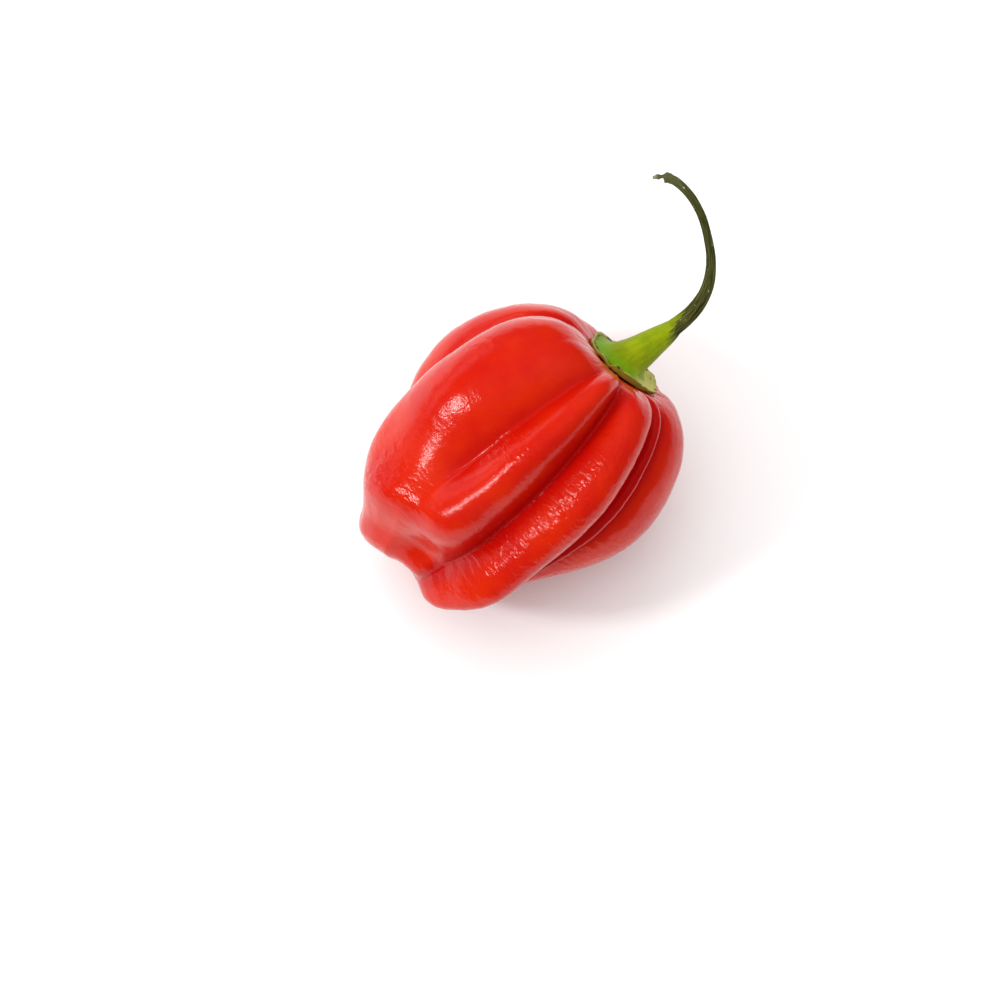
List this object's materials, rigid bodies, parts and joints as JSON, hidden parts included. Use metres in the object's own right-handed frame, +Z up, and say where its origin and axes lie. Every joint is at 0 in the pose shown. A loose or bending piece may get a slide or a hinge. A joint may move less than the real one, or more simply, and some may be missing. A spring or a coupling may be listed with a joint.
{
  "type": "habanero pepper",
  "caption": "Whole ripe habanero lying on its side: lobed, furrowed red fruit with a blunt tip, green funnel calyx with a ragged rim, and a thin curved dark stem.",
  "frame": {"origin": "middle of the small flat spot on the underside that the pepper rests on", "axes": "+Z up from the surface it lies on, +X towards the stem end along the fruit's long way"},
  "size_m": [0.0774, 0.0489, 0.0464],
  "materials": {
    "fruit_skin": "glossy waxy skin",
    "calyx_green": "satin, slightly ribbed",
    "stem_olive": "matte, dry, ribbed lengthwise"
  },
  "bodies": {
    "root": {"fruit": "fruit_skin", "calyx": "calyx_green", "stem": "stem_olive"}
  },
  "joints": []
}
